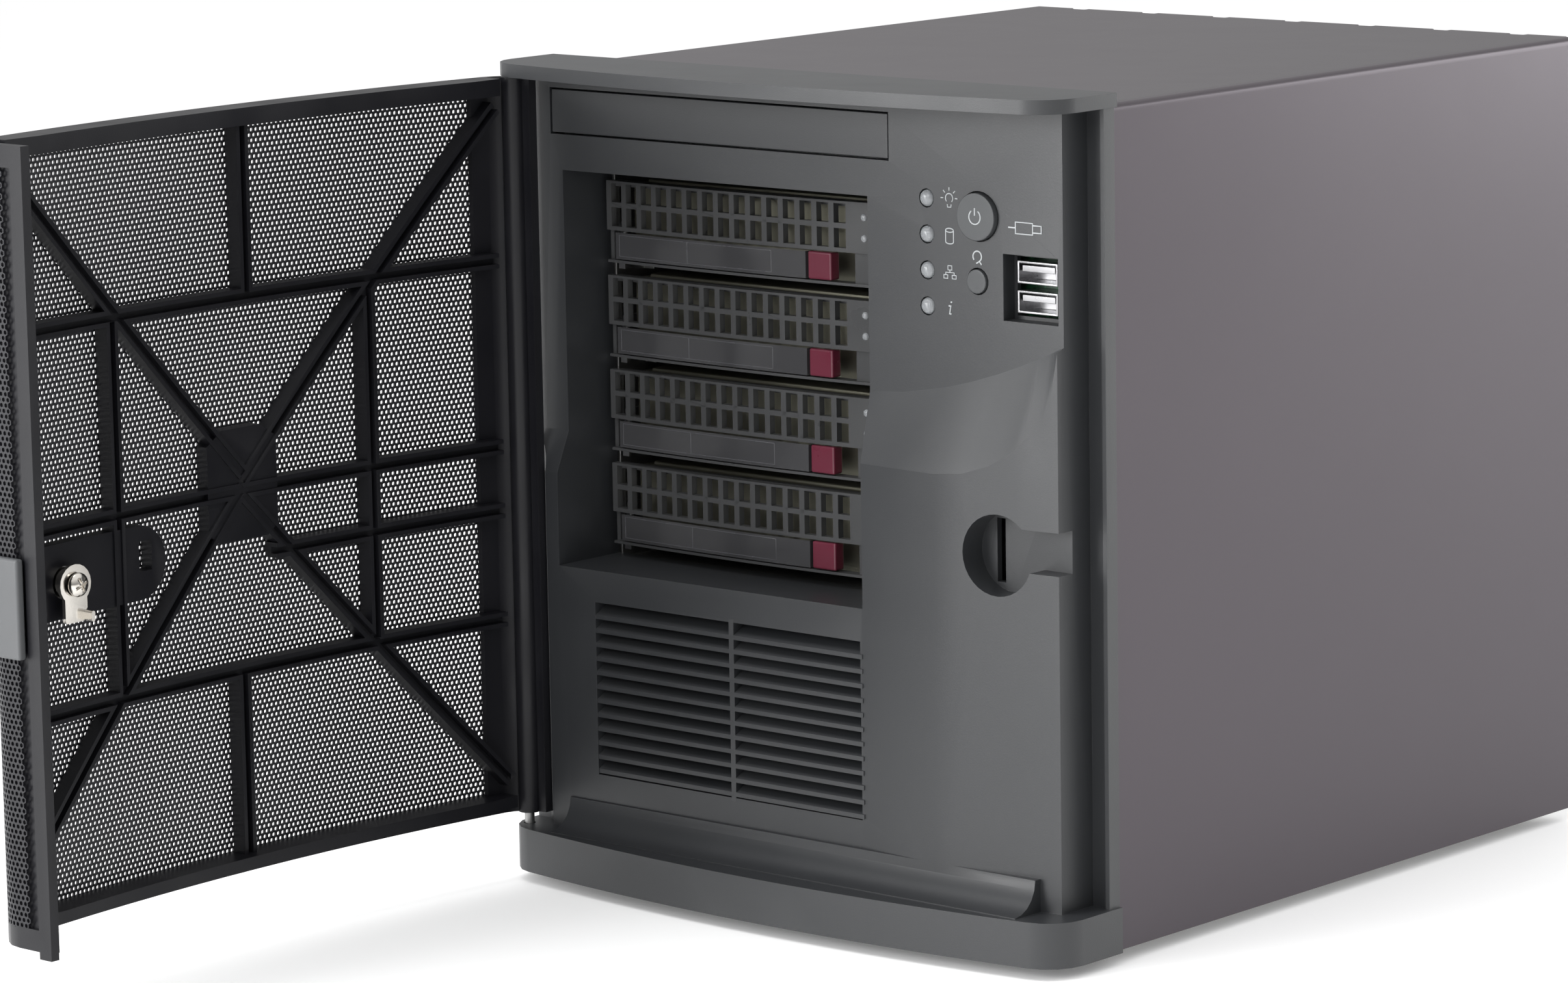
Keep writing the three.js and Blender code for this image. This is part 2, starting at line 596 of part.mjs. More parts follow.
function driveTray(index) {
  const z = TRAY.z0 + index * TRAY.pitch;
  const name = (piece) => piece + "_" + (index + 1);
  const { x0, x1 } = TRAY;
  const holePitch = 6.2;
  const holes = [];
  for (let row = 0; row < 2; row++) {
    for (let column = 0; column < 15; column++) {
      const hx = x0 + 2 + column * holePitch;
      const hz = z + 14.2 + row * 7.1;
      holes.push(box(hx, hx + 4.3, -3, 8, hz, hz + 5.6));
    }
  }
  const grille = cut(bowedBar(x0, x1, 0, 2.2, z + 13, z + 27.6, holePitch), holes);
  const ledge = bowedBar(x0, x1, 0.2, 4, z + 3.4, z + 4.2, 14);
  const post = box(x1 - 12.6, x1, 2.2, 5, z + 3.4, z + 13.5);
  const hingePost = box(x0, x0 + 1.4, 3.4, 6, z + 3.4, z + 27);
  const pin = rodZ(x0 + 5, 4.6, 0.9, z + 3.8, z + 13.4, 10);
  const under = box(x0, x0 + 8, 2.2, 6, z + 3.4, z + 4.2);
  const over = box(x0, x0 + 8, 2.2, 6, z + 13, z + 13.9);
  const rim = box(x0 + 1, x1, 3.8, 6, z + 25.8, z + 27.4);
  const front = join(grille, ledge, post, hingePost, pin, under, over, rim);
  place(name("tray_grille"), front, [0x232426, 0.45, 0]);

  const barrel = rodZ(x0 + 5, 4.6, 2.1, z + 4.6, z + 12.6, 12);
  const bar = bowedBar(x0 + 3.6, -8.2, 0, 2.6, z + 4.6, z + 12.4, 11);
  const lever = cut(join(bar, barrel), rodZ(x0 + 5, 4.6, 1.15, z, z + 20, 10));
  place(name("tray_lever"), lever, [0x141518, 0.2, 0]);

  const button = join(
    box(-7.2, 1.6, 0.1, 4, z + 4.6, z + 12.6),
    box(-5, 0, 3.6, 5.6, z + 6.5, z + 10.6),
  );
  place(name("tray_latch"), button, [0x7a2338, 0.35, 0]);

  const railTop = z + 15;
  const railEnd = 158;
  const carrier = join(
    box(x0 + 0.2, x0 + 1.6, 6.4, railEnd, z + 1, railTop),
    box(x1 - 1.6, x1 - 0.2, 6.4, railEnd, z + 1, railTop),
    box(x0 + 0.2, x1 - 0.2, 20, 34, z + 1, z + 1.7),
    box(x0 + 0.2, x1 - 0.2, 122, 136, z + 1, z + 1.7),
    box(x0 + 0.2, x0 + 2.6, 6.4, 7.4, z + 1, railTop),
    box(x1 - 6, x1 - 0.2, 6.4, 7.4, z + 1, railTop),
  );
  place(name("drive_carrier"), carrier, STEEL);

  const dx = TRAY_TRAVEL_X - DRIVE.w / 2;
  const drive = join(
    box(dx, dx + DRIVE.w, 10, 10 + DRIVE.d, z + 2.1, z + 2 + DRIVE.h - 1.2),
    box(dx + 4, dx + DRIVE.w - 4, 12, 4 + DRIVE.d, z + 20, z + 2 + DRIVE.h),
  );
  place(name("hard_drive"), drive, [0x8f8b78, 0.45, 0.6]);
}

// ---- door, laid out closed about its hinge line ----
// Each rib follows the bow and carries a shallow channel along the side that faces inwards.
const RIB = { inset0: 1.6, inset1: 6.5, floor: 4.2, width: 4.4, channel: 1.9 };

// Ribs of the lattice as centre lines (x, z) on the closed door, behind the mesh.
const DOOR_RIBS = (() => {
  const hinge = -94;
  const free = 95;
  const rail = { top: 182, middle: 127, short: 108, bottom: 75.5 };
  const near = { x: -45.5, top: 179, bottom: 77 };
  const far = { x: 54, top: 181, bottom: 77 };
  const hub = { x: 4.5, z: 129, w: 27, h: 32 };
  const straight = [
    [[hinge, rail.top], [free, rail.top]],
    [[hinge, rail.middle], [free, rail.middle]],
    [[hinge, rail.short], [hub.x - 12, rail.short]],
    [[hinge, rail.bottom], [free, rail.bottom]],
    [[0.8, 231], [0.8, rail.top]],
    [[6.3, rail.bottom], [6.3, 20]],
    [[near.x, near.top], [near.x, near.bottom]],
    [[far.x, far.top], [far.x, far.bottom]],
  ];
  const braces = [
    [[free, 228], [hub.x, hub.z + 3]],
    [[hinge, 227], [hub.x, hub.z + 1]],
    [[free, 34], [hub.x, hub.z - 1]],
    [[hinge, 27], [hub.x, hub.z - 3]],
  ];
  return { runs: [...straight, ...braces], hub };
})();

function lattice() {
  const { runs, hub } = DOOR_RIBS;
  const bars = runs.map(([a, b]) => strut(a, b, RIB.width, -40, -20));
  const channels = runs.map(([a, b]) => strut(a, b, RIB.channel, -40, -20));
  const { x, z, w, h } = hub;
  const plate = prismY(
    [
      [x - w / 2, z - h / 2 + 3],
      [x - w / 2 + 4, z - h / 2],
      [x + w / 2 - 4, z - h / 2],
      [x + w / 2, z - h / 2 + 3],
      [x + w / 2, z + h / 2 - 4],
      [x + w / 2 - 6, z + h / 2],
      [x - w / 2 + 6, z + h / 2],
      [x - w / 2, z + h / 2 - 4],
    ],
    -40,
    -20,
  );
  const { flangeY, endY } = DOOR;
  const armTop = BARREL_Z + 11;
  const armBottom = BARREL_Z - 10;
  const armRound = (armTop - armBottom) / 2;
  const arm = join(
    box(46, 96, -40, -20, armBottom, armTop),
    rodY(46, (armTop + armBottom) / 2, armRound, -40, -20, 28),
  );
  const window = box(41, 46, -45, -20, BARREL_Z - 2, BARREL_Z + 6.5);
  const depth = (from, to) => band(from, to, flangeY, endY, 20, 232);
  const ribs = join(bars).intersect(depth(RIB.inset0, RIB.inset1));
  const grooves = join(channels).intersect(depth(RIB.floor, RIB.inset1 + 1));
  const plates = join(plate, arm).intersect(depth(RIB.inset0, RIB.inset1 - 0.6));
  return cut(join(cut(ribs, grooves), plates), window);
}

function doorFrame() {
  const { z0, z1, depth, flangeY, endY } = DOOR;
  const capOutside = 0.2;
  const middle = box(-94, 96, -60, -21, 0, 250);
  const top = band(capOutside, depth, flangeY, endY, z1 - 5, z1).intersect(middle);
  const bottom = band(capOutside, depth, flangeY, endY, z0 + 4.5, z0 + 8).intersect(middle);
  const topSkin = band(capOutside, 2.4, flangeY, endY, z1 - 6, z1);
  const bottomSkin = band(capOutside, 2.4, flangeY, endY, z0 + 2, z0 + 8);
  const liner = band(RIB.inset0, RIB.inset0 + 1.6, flangeY, endY, z0 + 2, z1);
  const ends = cut(liner, box(-88, 92, -60, -20, z0 + 8, z1 - 5));
  const left = box(-SIDE_X + 0.2, -SIDE_X + 3, flangeY - 3, flangeY, z0 + 2, z1);
  const right = box(SIDE_X - 3, SIDE_X - 0.2, endY - 4.7, endY, z0, z1);
  const cornerFill = cut(
    rodZ(HINGE.x, HINGE.y, 3.2, z0 + 2, z1, 16),
    box(-SIDE_X - 3, -SIDE_X + 0.3, -40, 0, 0, 250),
  );
  const corner = cornerFill.intersect(slabOfFootprint(0.2, 0, 0, 250));
  const hollowPins = [
    rodZ(HINGE.x, HINGE.y, HINGE.pin + GAP, z0, z0 + 12),
    rodZ(HINGE.x, HINGE.y, HINGE.pin + GAP, z1 - 10, z1 + 1),
  ];
  const lockHole = rodY(LOCK.x, BARREL_Z, 4.6, -45, -20, 20);
  const body = join(top, bottom, topSkin, bottomSkin, ends, left, right, corner, lattice());
  return cut(body, hollowPins, lockHole);
}

function door() {
  const add = (name, body, look) => {
    place(name, body.translate([-HINGE.x, -HINGE.y, 0]), look, doorGroup);
  };
  const { z0, z1, flangeY, endY } = DOOR;
  add("door_frame", doorFrame(), BLACK);
  const back = MESH_INSET + MESH_SHEET;
  const sheet = band(MESH_INSET, back, flangeY, endY - 5, z0 + 8.4, z1 - 6.4);
  const beyond = [
    box(-SIDE_X - 1, HINGE.x + 4.5, -45, 0, 0, BEZEL_TOP),
    rodY(LOCK.x, BARREL_Z, 5, -45, -20, 20),
  ];
  add("door_mesh", cut(sheet, beyond), [0x3a3b3f, 0.5, 0.4]);
  const pinTop = rodZ(HINGE.x, HINGE.y, HINGE.pin, z1 - 9, LIP_BOTTOM + 2.2, 12);
  const pinBottom = rodZ(HINGE.x, HINGE.y, HINGE.pin, PLINTH_TOP - 3, z0 + 11, 12);
  add("door_pin_top", pinTop, STEEL);
  add("door_pin_bottom", pinBottom, STEEL);
  const grip = band(-2.6, MESH_INSET - GAP, flangeY, endY - 5, 97, 124.5);
  add("door_grip", grip.intersect(box(90, 120, -60, -10, 0, BEZEL_TOP)), [0x2b2c2f, 0.55, 0]);
  const barrel = join(
    rodY(LOCK.x, BARREL_Z, 4.2, -38.6, -23, 20),
    rodY(LOCK.x, BARREL_Z, 7, -38.8, -36.6, 24),
  );
  const keyway = box(LOCK.x - 0.7, LOCK.x + 0.7, -40, -34, 107.6, 112.4);
  add("lock_cylinder", cut(barrel, keyway), [0xc9c7c0, 0.2, 1]);
  const cam = join(
    rodY(LOCK.x, BARREL_Z, 5.6, -22.6, -21.4, 20),
    box(LOCK.x - 4, LOCK.x + 4, -22.6, -21.4, LOCK.z - 10.5, BARREL_Z),
    box(LOCK.x - 4, LOCK.x - 2.8, -22.6, -18.4, LOCK.z - 10.5, LOCK.z - 7.5),
  );
  add("lock_cam", cam, [0xc9c7c0, 0.2, 1]);
  add("lock_screw", rodY(LOCK.x, BARREL_Z, 3.4, -21, -18.8, 16), [0xc9c7c0, 0.2, 1]);
}

chassis();
internals();
frontParts();
for (let i = 0; i < TRAY.count; i++) {
  driveTray(i);
}
door();

export default group;
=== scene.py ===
"""Looks for the four-bay network storage enclosure: finished meshes and materials around the
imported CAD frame. Object lengths below are in millimetres and are turned to metres by MM."""

import json
import math

import bmesh
import bpy
from mathutils import Matrix, Vector

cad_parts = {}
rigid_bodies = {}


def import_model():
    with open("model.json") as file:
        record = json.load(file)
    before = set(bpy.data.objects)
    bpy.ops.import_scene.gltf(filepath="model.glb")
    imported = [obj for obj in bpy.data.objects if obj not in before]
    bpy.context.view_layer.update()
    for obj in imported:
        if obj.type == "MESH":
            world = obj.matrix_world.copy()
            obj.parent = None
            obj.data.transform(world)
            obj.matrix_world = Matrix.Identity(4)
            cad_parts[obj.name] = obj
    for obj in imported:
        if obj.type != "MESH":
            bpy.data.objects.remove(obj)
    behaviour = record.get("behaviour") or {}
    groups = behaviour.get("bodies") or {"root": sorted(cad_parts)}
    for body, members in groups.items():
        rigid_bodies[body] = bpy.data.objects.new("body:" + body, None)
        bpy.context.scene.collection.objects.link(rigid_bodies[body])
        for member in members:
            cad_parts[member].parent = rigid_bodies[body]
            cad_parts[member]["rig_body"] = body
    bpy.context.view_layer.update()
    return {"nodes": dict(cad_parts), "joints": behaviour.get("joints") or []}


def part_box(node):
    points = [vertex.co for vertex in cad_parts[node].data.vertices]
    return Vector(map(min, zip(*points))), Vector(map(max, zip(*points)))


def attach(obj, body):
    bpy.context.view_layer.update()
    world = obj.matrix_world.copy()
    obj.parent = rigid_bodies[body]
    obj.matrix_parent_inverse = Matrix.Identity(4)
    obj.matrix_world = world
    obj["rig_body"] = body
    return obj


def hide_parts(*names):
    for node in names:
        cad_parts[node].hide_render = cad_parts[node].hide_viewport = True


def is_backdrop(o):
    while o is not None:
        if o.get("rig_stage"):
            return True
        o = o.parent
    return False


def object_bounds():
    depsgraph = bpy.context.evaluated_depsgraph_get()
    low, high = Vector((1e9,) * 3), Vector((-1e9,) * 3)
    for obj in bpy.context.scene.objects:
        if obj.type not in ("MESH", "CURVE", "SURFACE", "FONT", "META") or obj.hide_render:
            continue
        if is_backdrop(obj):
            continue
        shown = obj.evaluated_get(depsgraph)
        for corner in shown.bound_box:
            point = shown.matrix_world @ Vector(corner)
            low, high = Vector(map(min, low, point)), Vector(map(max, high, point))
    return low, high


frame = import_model()

MM = 0.001
NODES = frame["nodes"]
JOINTS = {joint["name"]: joint for joint in frame["joints"]}
TRAYS = range(1, 5)

# The footprint shared by the plinth, the lip and the door, in the closed layout.
SIDE_X = 105.0
CORNER_R = 12.0
BOW_R = 654.0
FRONT_Y = -36.5
BODY_HALF_DEPTH = 112.0

TRAY_BOW = 1.8

# The perforated sheet: its holes, its run along the front, and the round gap for the lock.
MESH_PITCH = 1.75
MESH_HOLE_R = 0.64
MESH_SIDES = 6
MESH_INSET = 0.55
MESH_RUN = (-97.5, 117.5)
LOCK_GAP_S = 77.2
LOCK_GAP_Z = 110
LOCK_GAP_R = 8

# The slanted step across the front panel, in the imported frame.
STEP_HEIGHTS = (117, 173)
STEP_FRONT_Y = -125.5

PORTS_FROM_Y = 87.5

# The view: angles in degrees, lens and place in millimetres.
VIEW_AZIMUTH = 41.28
VIEW_ELEVATION = 9.70
VIEW_ROLL = -0.97
VIEW_LENS = 134.92161
VIEW_PLACE = (1083.4, -1366.0, 403.2)


# ---- objects ----
def link(name, mesh):
    piece = bpy.data.objects.new(name, mesh)
    bpy.context.scene.collection.objects.link(piece)
    return piece


def from_bmesh(name, bm):
    mesh = bpy.data.meshes.new(name)
    bmesh.ops.recalc_face_normals(bm, faces=bm.faces)
    bm.to_mesh(mesh)
    bm.free()
    return link(name, mesh)


def bake_modifiers(piece):
    bpy.context.view_layer.update()
    graph = bpy.context.evaluated_depsgraph_get()
    mesh = bpy.data.meshes.new_from_object(piece.evaluated_get(graph))
    piece.modifiers.clear()
    piece.data = mesh


def crisp_step(piece):
    """Keeps the shallow slanted step across the front panel as a crisp line."""
    bm = bmesh.new()
    bm.from_mesh(piece.data)
    for edge in bm.edges:
        a, b = (vert.co for vert in edge.verts)
        run = (b - a).normalized() if (b - a).length > 1e-6 else Vector((0, 0, 1))
        middle = (a + b) / 2
        at_height = STEP_HEIGHTS[0] * MM < middle.z < STEP_HEIGHTS[1] * MM
        in_step = at_height and middle.y < STEP_FRONT_Y * MM
        if in_step and abs(run.x) > 0.6 and len(edge.link_faces) == 2:
            if edge.calc_face_angle(0) > math.radians(4):
                edge.smooth = False
    bm.to_mesh(piece.data)
    bm.free()


def smooth_by_angle(piece, degrees=35, crisp=False):
    """Smooth over rounded edges while wide faces keep their own flat normals."""
    piece.data.shade_smooth()
    piece.data.set_sharp_from_angle(angle=math.radians(degrees))
    if crisp:
        crisp_step(piece)
    weighted = piece.modifiers.new("weighted", "WEIGHTED_NORMAL")
    weighted.keep_sharp = True
    weighted.weight = 100
    bake_modifiers(piece)


def add_bevel(piece, width, segments=2, degrees=38):
    bevel = piece.modifiers.new("bevel", "BEVEL")
    bevel.width = width * MM
    bevel.segments = segments
    bevel.limit_method = "ANGLE"
    bevel.angle_limit = math.radians(degrees)
    bevel.use_clamp_overlap = True
    bevel.miter_outer = "MITER_ARC"
    bake_modifiers(piece)


def dress(piece, material, body, replaced=None):
    piece.data.materials.clear()
    piece.data.materials.append(material)
    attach(piece, body)
    if replaced:
        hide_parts(replaced)
    return piece


def clean_copy(node):
    """A copy of a CAD node's mesh with its flat areas joined into whole faces."""
    bm = bmesh.new()
    bm.from_mesh(NODES[node].data)
    bmesh.ops.remove_doubles(bm, verts=bm.verts, dist=1e-6)
    bmesh.ops.dissolve_limit(
        bm, angle_limit=math.radians(0.6), verts=bm.verts, edges=bm.edges
    )
    bmesh.ops.connect_verts_concave(bm, faces=bm.faces)
    return bm


def round_edges_along(bm, axis, width, segments=3):
    """Rounds the sharp edges that run along one axis, such as the corners of slots."""
    chosen = []
    for edge in bm.edges:
        run = edge.verts[1].co - edge.verts[0].co
        if run.length < 1e-5 or len(edge.link_faces) != 2:
            continue
        along = abs(run.normalized()[axis]) > 0.999
        if along and edge.calc_face_angle(0) > math.radians(60):
            chosen.append(edge)
    bmesh.ops.bevel(
        bm,
        geom=chosen,
        offset=width * MM,
        segments=segments,
        affect="EDGES",
        profile=0.5,
        clamp_overlap=True,
    )


def refine(node, material, width=0.3, segments=2, rounded=None, crisp=False):
    bm = clean_copy(node)
    if rounded:
        round_edges_along(bm, *rounded)
    piece = from_bmesh(node + "_fine", bm)
    add_bevel(piece, width, segments)
    smooth_by_angle(piece, crisp=crisp)
    return dress(piece, material, NODES[node]["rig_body"], node)


def wire(name, points, radius, closed=False):
    """A round wire through points, as a mesh."""
    curve = bpy.data.curves.new(name, "CURVE")
    curve.dimensions = "3D"
    curve.bevel_depth = radius * MM
    curve.bevel_resolution = 2
    curve.use_fill_caps = True
    spline = curve.splines.new("POLY")
    spline.points.add(len(points) - 1)
    for target, point in zip(spline.points, points):
        target.co = (*point, 1)
    spline.use_cyclic_u = closed
    source = link(name, curve)
    graph = bpy.context.evaluated_depsgraph_get()
    mesh = bpy.data.meshes.new_from_object(source.evaluated_get(graph))
    bpy.data.objects.remove(source)
    return link(name, mesh)


def join_pieces(name, pieces):
    bm = bmesh.new()
    for piece in pieces:
        piece.data.transform(piece.matrix_world)
        bm.from_mesh(piece.data)
        bpy.data.objects.remove(piece)
    return from_bmesh(name, bm)


def lathe(name, profile, centre, direction, steps=40):
    """Turns (radius, height) points about a line through centre."""
    bm = bmesh.new()
    points = [bm.verts.new((r * MM, 0, h * MM)) for r, h in profile]
    edges = [bm.edges.new(pair) for pair in zip(points, points[1:])]
    bmesh.ops.spin(
        bm,
        geom=points + edges,
        cent=(0, 0, 0),
        axis=(0, 0, 1),
        dvec=(0, 0, 0),
        angle=math.tau,
        steps=steps,
        use_duplicate=False,
    )
    bmesh.ops.remove_doubles(bm, verts=bm.verts, dist=1e-6)
    turn = Vector((0, 0, 1)).rotation_difference(Vector(direction)).to_matrix().to_4x4()
    bmesh.ops.transform(bm, matrix=Matrix.Translation(centre) @ turn, verts=bm.verts)
    piece = from_bmesh(name, bm)
    smooth_by_angle(piece, 40)
    return piece


# ---- materials ----
def node_tree(name):
    material = bpy.data.materials.new(name)
    material.use_nodes = True
    nodes = material.node_tree.nodes
    shader = nodes["Principled BSDF"]
    return material, nodes, material.node_tree.links, shader


def noise_at(nodes, links, scale, detail=3.0, stretch=None):
    coords = nodes.new("ShaderNodeTexCoord")
    noise = nodes.new("ShaderNodeTexNoise")
    noise.inputs["Scale"].default_value = scale
    noise.inputs["Detail"].default_value = detail
    source = coords.outputs["Object"]
    if stretch:
        mapping = nodes.new("ShaderNodeMapping")
        mapping.inputs["Scale"].default_value = stretch
        links.new(source, mapping.inputs["Vector"])
        source = mapping.outputs["Vector"]
    links.new(source, noise.inputs["Vector"])
    return noise


def span(nodes, links, value, low, high, from_low=0.3, from_high=0.7):
    ranged = nodes.new("ShaderNodeMapRange")
    ranged.inputs["From Min"].default_value = from_low
    ranged.inputs["From Max"].default_value = from_high
    ranged.inputs["To Min"].default_value = low
    ranged.inputs["To Max"].default_value = high
    links.new(value, ranged.inputs["Value"])
    return ranged.outputs["Result"]


def finish_material(
    name,
    color,
    roughness,
    metallic=0.0,
    grain=(2200, 0.12, 0.00008),
    mottle=0.12,
    smudge=0.08,
    stretch=None,
    wear=0.25,
    coat=0.0,
    specular=0.5,
):
    """Moulded or painted surface: fine grain, slow mottling, uneven gloss, paler worn edges."""
    material, nodes, links, shader = node_tree(name)
    shader.inputs["Metallic"].default_value = metallic
    shader.inputs["Coat Weight"].default_value = coat
    shader.inputs["Coat Roughness"].default_value = 0.12
    shader.inputs["Specular IOR Level"].default_value = specular

    slow = noise_at(nodes, links, 14, 4)
    shade = nodes.new("ShaderNodeMix")
    shade.data_type = "RGBA"
    dark = [channel * (1 - mottle) for channel in color]
    light = [min(1, channel * (1 + mottle)) for channel in color]
    shade.inputs["A"].default_value = (*dark, 1)
    shade.inputs["B"].default_value = (*light, 1)
    links.new(span(nodes, links, slow.outputs["Fac"], 0, 1), shade.inputs["Factor"])

    geometry = nodes.new("ShaderNodeNewGeometry")
    edge = span(nodes, links, geometry.outputs["Pointiness"], 0, wear, 0.52, 0.62)
    worn = nodes.new("ShaderNodeMix")
    worn.data_type = "RGBA"
    pale = [channel * 0.6 + 0.12 for channel in color]
    worn.inputs["B"].default_value = (*pale, 1)
    links.new(shade.outputs["Result"], worn.inputs["A"])
    links.new(edge, worn.inputs["Factor"])
    links.new(worn.outputs["Result"], shader.inputs["Base Color"])

    handled = noise_at(nodes, links, 45, 5, stretch)
    gloss = span(
        nodes,
        links,
        handled.outputs["Fac"],
        max(0.03, roughness - smudge),
        min(1, roughness + smudge),
    )
    links.new(gloss, shader.inputs["Roughness"])

    scale, strength, distance = grain
    fine = noise_at(nodes, links, scale, 2, stretch)
    bump = nodes.new("ShaderNodeBump")
    bump.inputs["Strength"].default_value = strength
    bump.inputs["Distance"].default_value = distance
    links.new(fine.outputs["Fac"], bump.inputs["Height"])
    links.new(bump.outputs["Normal"], shader.inputs["Normal"])
    return material


def clear_plastic(name, color, roughness=0.12, transmission=0.7):
    material, nodes, links, shader = node_tree(name)
    shader.inputs["Transmission Weight"].default_value = transmission
    shader.inputs["IOR"].default_value = 1.49
    swirl = noise_at(nodes, links, 300, 3)
    tint = nodes.new("ShaderNodeMix")
    tint.data_type = "RGBA"
    tint.inputs["A"].default_value = (*[c * 0.85 for c in color], 1)
    tint.inputs["B"].default_value = (*color, 1)
    links.new(swirl.outputs["Fac"], tint.inputs["Factor"])
    links.new(tint.outputs["Result"], shader.inputs["Base Color"])
    gloss = span(nodes, links, swirl.outputs["Fac"], roughness * 0.7, roughness * 1.6)
    links.new(gloss, shader.inputs["Roughness"])
    return material


def board_material(name, ports_from=None):
    """Solder mask with faint copper tracks under it; bright port shells behind a depth in y."""
    material, nodes, links, shader = node_tree(name)
    coords = nodes.new("ShaderNodeTexCoord")
    tracks = nodes.new("ShaderNodeTexVoronoi")
    tracks.feature = "DISTANCE_TO_EDGE"
    tracks.inputs["Scale"].default_value = 220
    links.new(coords.outputs["Object"], tracks.inputs["Vector"])
    ramp = nodes.new("ShaderNodeMix")
    ramp.data_type = "RGBA"
    ramp.inputs["A"].default_value = (0.03, 0.16, 0.06, 1)
    ramp.inputs["B"].default_value = (0.008, 0.06, 0.022, 1)
    links.new(
        span(nodes, links, tracks.outputs["Distance"], 0, 1, 0.02, 0.06),
        ramp.inputs["Factor"],
    )
    links.new(ramp.outputs["Result"], shader.inputs["Base Color"])
    shader.inputs["Roughness"].default_value = 0.35
    if ports_from is not None:
        axes = nodes.new("ShaderNodeSeparateXYZ")
        links.new(coords.outputs["Object"], axes.inputs["Vector"])
        behind = span(nodes, links, axes.outputs["Y"], 0, 1, ports_from, ports_from + 0.0001)
        shell = nodes.new("ShaderNodeMix")
        shell.data_type = "RGBA"
        shell.inputs["B"].default_value = (0.4, 0.4, 0.41, 1)
        links.new(ramp.outputs["Result"], shell.inputs["A"])
        links.new(behind, shell.inputs["Factor"])
        links.new(shell.outputs["Result"], shader.inputs["Base Color"])
        links.new(behind, shader.inputs["Metallic"])
    bump = nodes.new("ShaderNodeBump")
    bump.inputs["Strength"].default_value = 0.2
    bump.inputs["Distance"].default_value = 0.0001
    links.new(tracks.outputs["Distance"], bump.inputs["Height"])
    links.new(bump.outputs["Normal"], shader.inputs["Normal"])
    return material


MOULDED = (2600, 0.22, 0.00009)
SHEET = (900, 0.05, 0.00005)

BEZEL = finish_material(
    "bezel_plastic",
    (0.021, 0.0225, 0.025),
    0.42,
    grain=MOULDED,
    mottle=0.05,
    smudge=0.025,
    wear=0.08,
    specular=0.66,
)
DOOR_PLASTIC = finish_material(
    "door_plastic", (0.006, 0.006, 0.008), 0.4, grain=MOULDED, wear=0.06, specular=0.3
)
DOOR_EDGE = finish_material("door_edge_plastic", (0.075, 0.078, 0.082), 0.5, grain=MOULDED)
MESH_PAINT = finish_material(
    "mesh_paint", (0.014, 0.014, 0.017), 0.45, grain=SHEET, wear=0, specular=0.35
)
COVER = finish_material(
    "cover_paint",
    (0.072, 0.061, 0.071),
    0.3,
    0.55,
    grain=(3000, 0.02, 0.00002),
    mottle=0.02,
    smudge=0.012,
    wear=0,
)
ZINC = finish_material(
    "zinc_sheet", (0.38, 0.38, 0.375), 0.38, 0.95, grain=SHEET, stretch=(1, 14, 1), mottle=0.08
)
CARRIER = finish_material(
    "carrier_steel", (0.36, 0.36, 0.37), 0.38, 0.95, grain=SHEET, stretch=(1, 10, 1)
)
NICKEL = finish_material("nickel_plate", (0.66, 0.63, 0.58), 0.2, 1.0, grain=SHEET, mottle=0.1)
RUBBER = finish_material("foot_rubber", (0.018, 0.018, 0.018), 0.8, grain=(1500, 0.4, 0.0001))
BUTTON = finish_material("button_plastic", (0.05, 0.053, 0.056), 0.42, grain=MOULDED)
TRAY_PLASTIC = finish_material("tray_plastic", (0.022, 0.023, 0.025), 0.34, grain=MOULDED)
LEVER_GLOSS = finish_material(
    "lever_gloss", (0.014, 0.014, 0.017), 0.16, grain=(800, 0.03, 0.00004), coat=0.6
)
LEVER_LINE = finish_material("lever_line", (0.09, 0.09, 0.1), 0.3, grain=SHEET)
LATCH_RED = finish_material(
    "latch_red", (0.105, 0.008, 0.024), 0.3, grain=(1800, 0.1, 0.00005), coat=0.2, wear=0.05
)
DRIVE_METAL = finish_material(
    "drive_metal", (0.30, 0.29, 0.225), 0.42, 0.9, grain=(1400, 0.3, 0.0001), mottle=0.2
)
FAN_PLASTIC = finish_material("fan_plastic", (0.016, 0.016, 0.017), 0.4, grain=MOULDED)
SINK = finish_material(
    "sink_aluminium", (0.75, 0.75, 0.76), 0.28, 1.0, grain=SHEET, stretch=(1, 12, 1)
)
TINPLATE = finish_material("usb_shell", (0.42, 0.42, 0.43), 0.3, 1.0, grain=SHEET)
PRINT = finish_material("pale_print", (0.42, 0.44, 0.45), 0.6, grain=SHEET, wear=0)
LENS = clear_plastic("lens", (0.78, 0.81, 0.84))
BOARD = board_material("board_green")
MAIN_BOARD = board_material("main_board", PORTS_FROM_Y * MM)


# ---- the door ----
def footprint_point(s, inset):
    """Point and outward normal at arc length s from the middle of the bowed front, closed."""
    centre_y = FRONT_Y + BOW_R
    corner_x = SIDE_X - CORNER_R
    tangent = math.asin(corner_x / (BOW_R - CORNER_R))
    corner_y = centre_y - (BOW_R - CORNER_R) * math.cos(tangent)
    bow_end = BOW_R * tangent
    corner_end = bow_end + CORNER_R * (math.pi / 2 - tangent)
    sign = 1 if s >= 0 else -1
    run = abs(s)
    if run <= bow_end:
        angle = run / BOW_R
        normal = (math.sin(angle), -math.cos(angle))
        x = (BOW_R - inset) * normal[0]
        y = centre_y + (BOW_R - inset) * normal[1]
    elif run <= corner_end:
        angle = tangent + (run - bow_end) / CORNER_R
        normal = (math.sin(angle), -math.cos(angle))
        x = corner_x + (CORNER_R - inset) * normal[0]
        y = corner_y + (CORNER_R - inset) * normal[1]
    else:
        x = SIDE_X - inset
        y = corner_y + (run - corner_end)
    return sign * x, y


